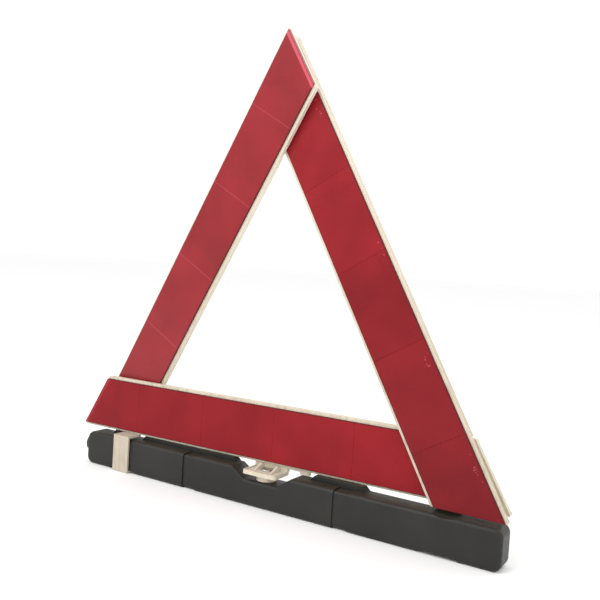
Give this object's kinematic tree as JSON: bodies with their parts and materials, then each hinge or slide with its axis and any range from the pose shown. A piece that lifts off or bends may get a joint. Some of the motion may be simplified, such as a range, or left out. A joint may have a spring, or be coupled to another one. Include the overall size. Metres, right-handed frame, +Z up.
{
  "type": "warning triangle",
  "caption": "Folding roadside warning triangle: red reflector arms in pale frames, woven at the corners, on a long black foot that swivels under them.",
  "frame": {"origin": "centre of the foot's underside, on the ground", "axes": "+X along the foot and the bottom arm, to the right seen from the front; the reflectors face -Y; +Z up"},
  "size_m": [0.4416, 0.0319, 0.4182],
  "materials": {
    "cream_plastic": "satin",
    "red_reflector": "gloss",
    "black_plastic": "satin",
    "zinc_steel": "satin",
    "loose_ballast": "matte"
  },
  "bodies": {
    "foot": {"foot_body": "black_plastic", "filler_plug": "black_plastic", "ballast_fill": "loose_ballast"},
    "bottom_arm": {"bottom_arm_frame": "cream_plastic", "bottom_reflector_1": "red_reflector", "bottom_reflector_2": "red_reflector", "bottom_reflector_3": "red_reflector", "bottom_reflector_4": "red_reflector", "bottom_reflector_5": "red_reflector", "front_hook": "cream_plastic", "rear_hook": "cream_plastic", "swivel_bracket": "cream_plastic", "swivel_screw": "zinc_steel", "corner_stud": "cream_plastic"},
    "right_arm": {"right_arm_frame": "cream_plastic", "right_reflector_1": "red_reflector", "right_reflector_2": "red_reflector", "right_reflector_3": "red_reflector", "right_reflector_4": "red_reflector", "right_reflector_5": "red_reflector", "right_pivot_pin": "zinc_steel", "right_pivot_spacer": "cream_plastic"},
    "left_arm": {"left_arm_frame": "cream_plastic", "left_reflector_1": "red_reflector", "left_reflector_2": "red_reflector", "left_reflector_3": "red_reflector", "left_reflector_4": "red_reflector", "left_reflector_5": "red_reflector", "apex_pivot_pin": "zinc_steel", "apex_pivot_spacer": "cream_plastic"}
  },
  "joints": [
    {"name": "foot_swivel", "type": "hinge", "parent": "foot", "child": "bottom_arm", "pos_m": [0, 0, 0.023], "axis": [0, 0, 1], "range_deg": [0, 90]},
    {"name": "right_arm_fold", "type": "hinge", "parent": "bottom_arm", "child": "right_arm", "pos_m": [0.1676, 0.0065, 0.06326], "axis": [0.0288, -0.9983, 0.0499], "range_deg": [0, 60.09]},
    {"name": "left_arm_swing", "type": "hinge", "parent": "right_arm", "child": "left_arm", "pos_m": [-0.00569, 0.0065, 0.3636], "axis": [-0.0576, -0.9983, 0], "range_deg": [-299.92, 0]}
  ],
  "couplings": [
    {"joint": "right_arm_fold", "follows": "left_arm_swing", "ratio": -0.20033}
  ]
}
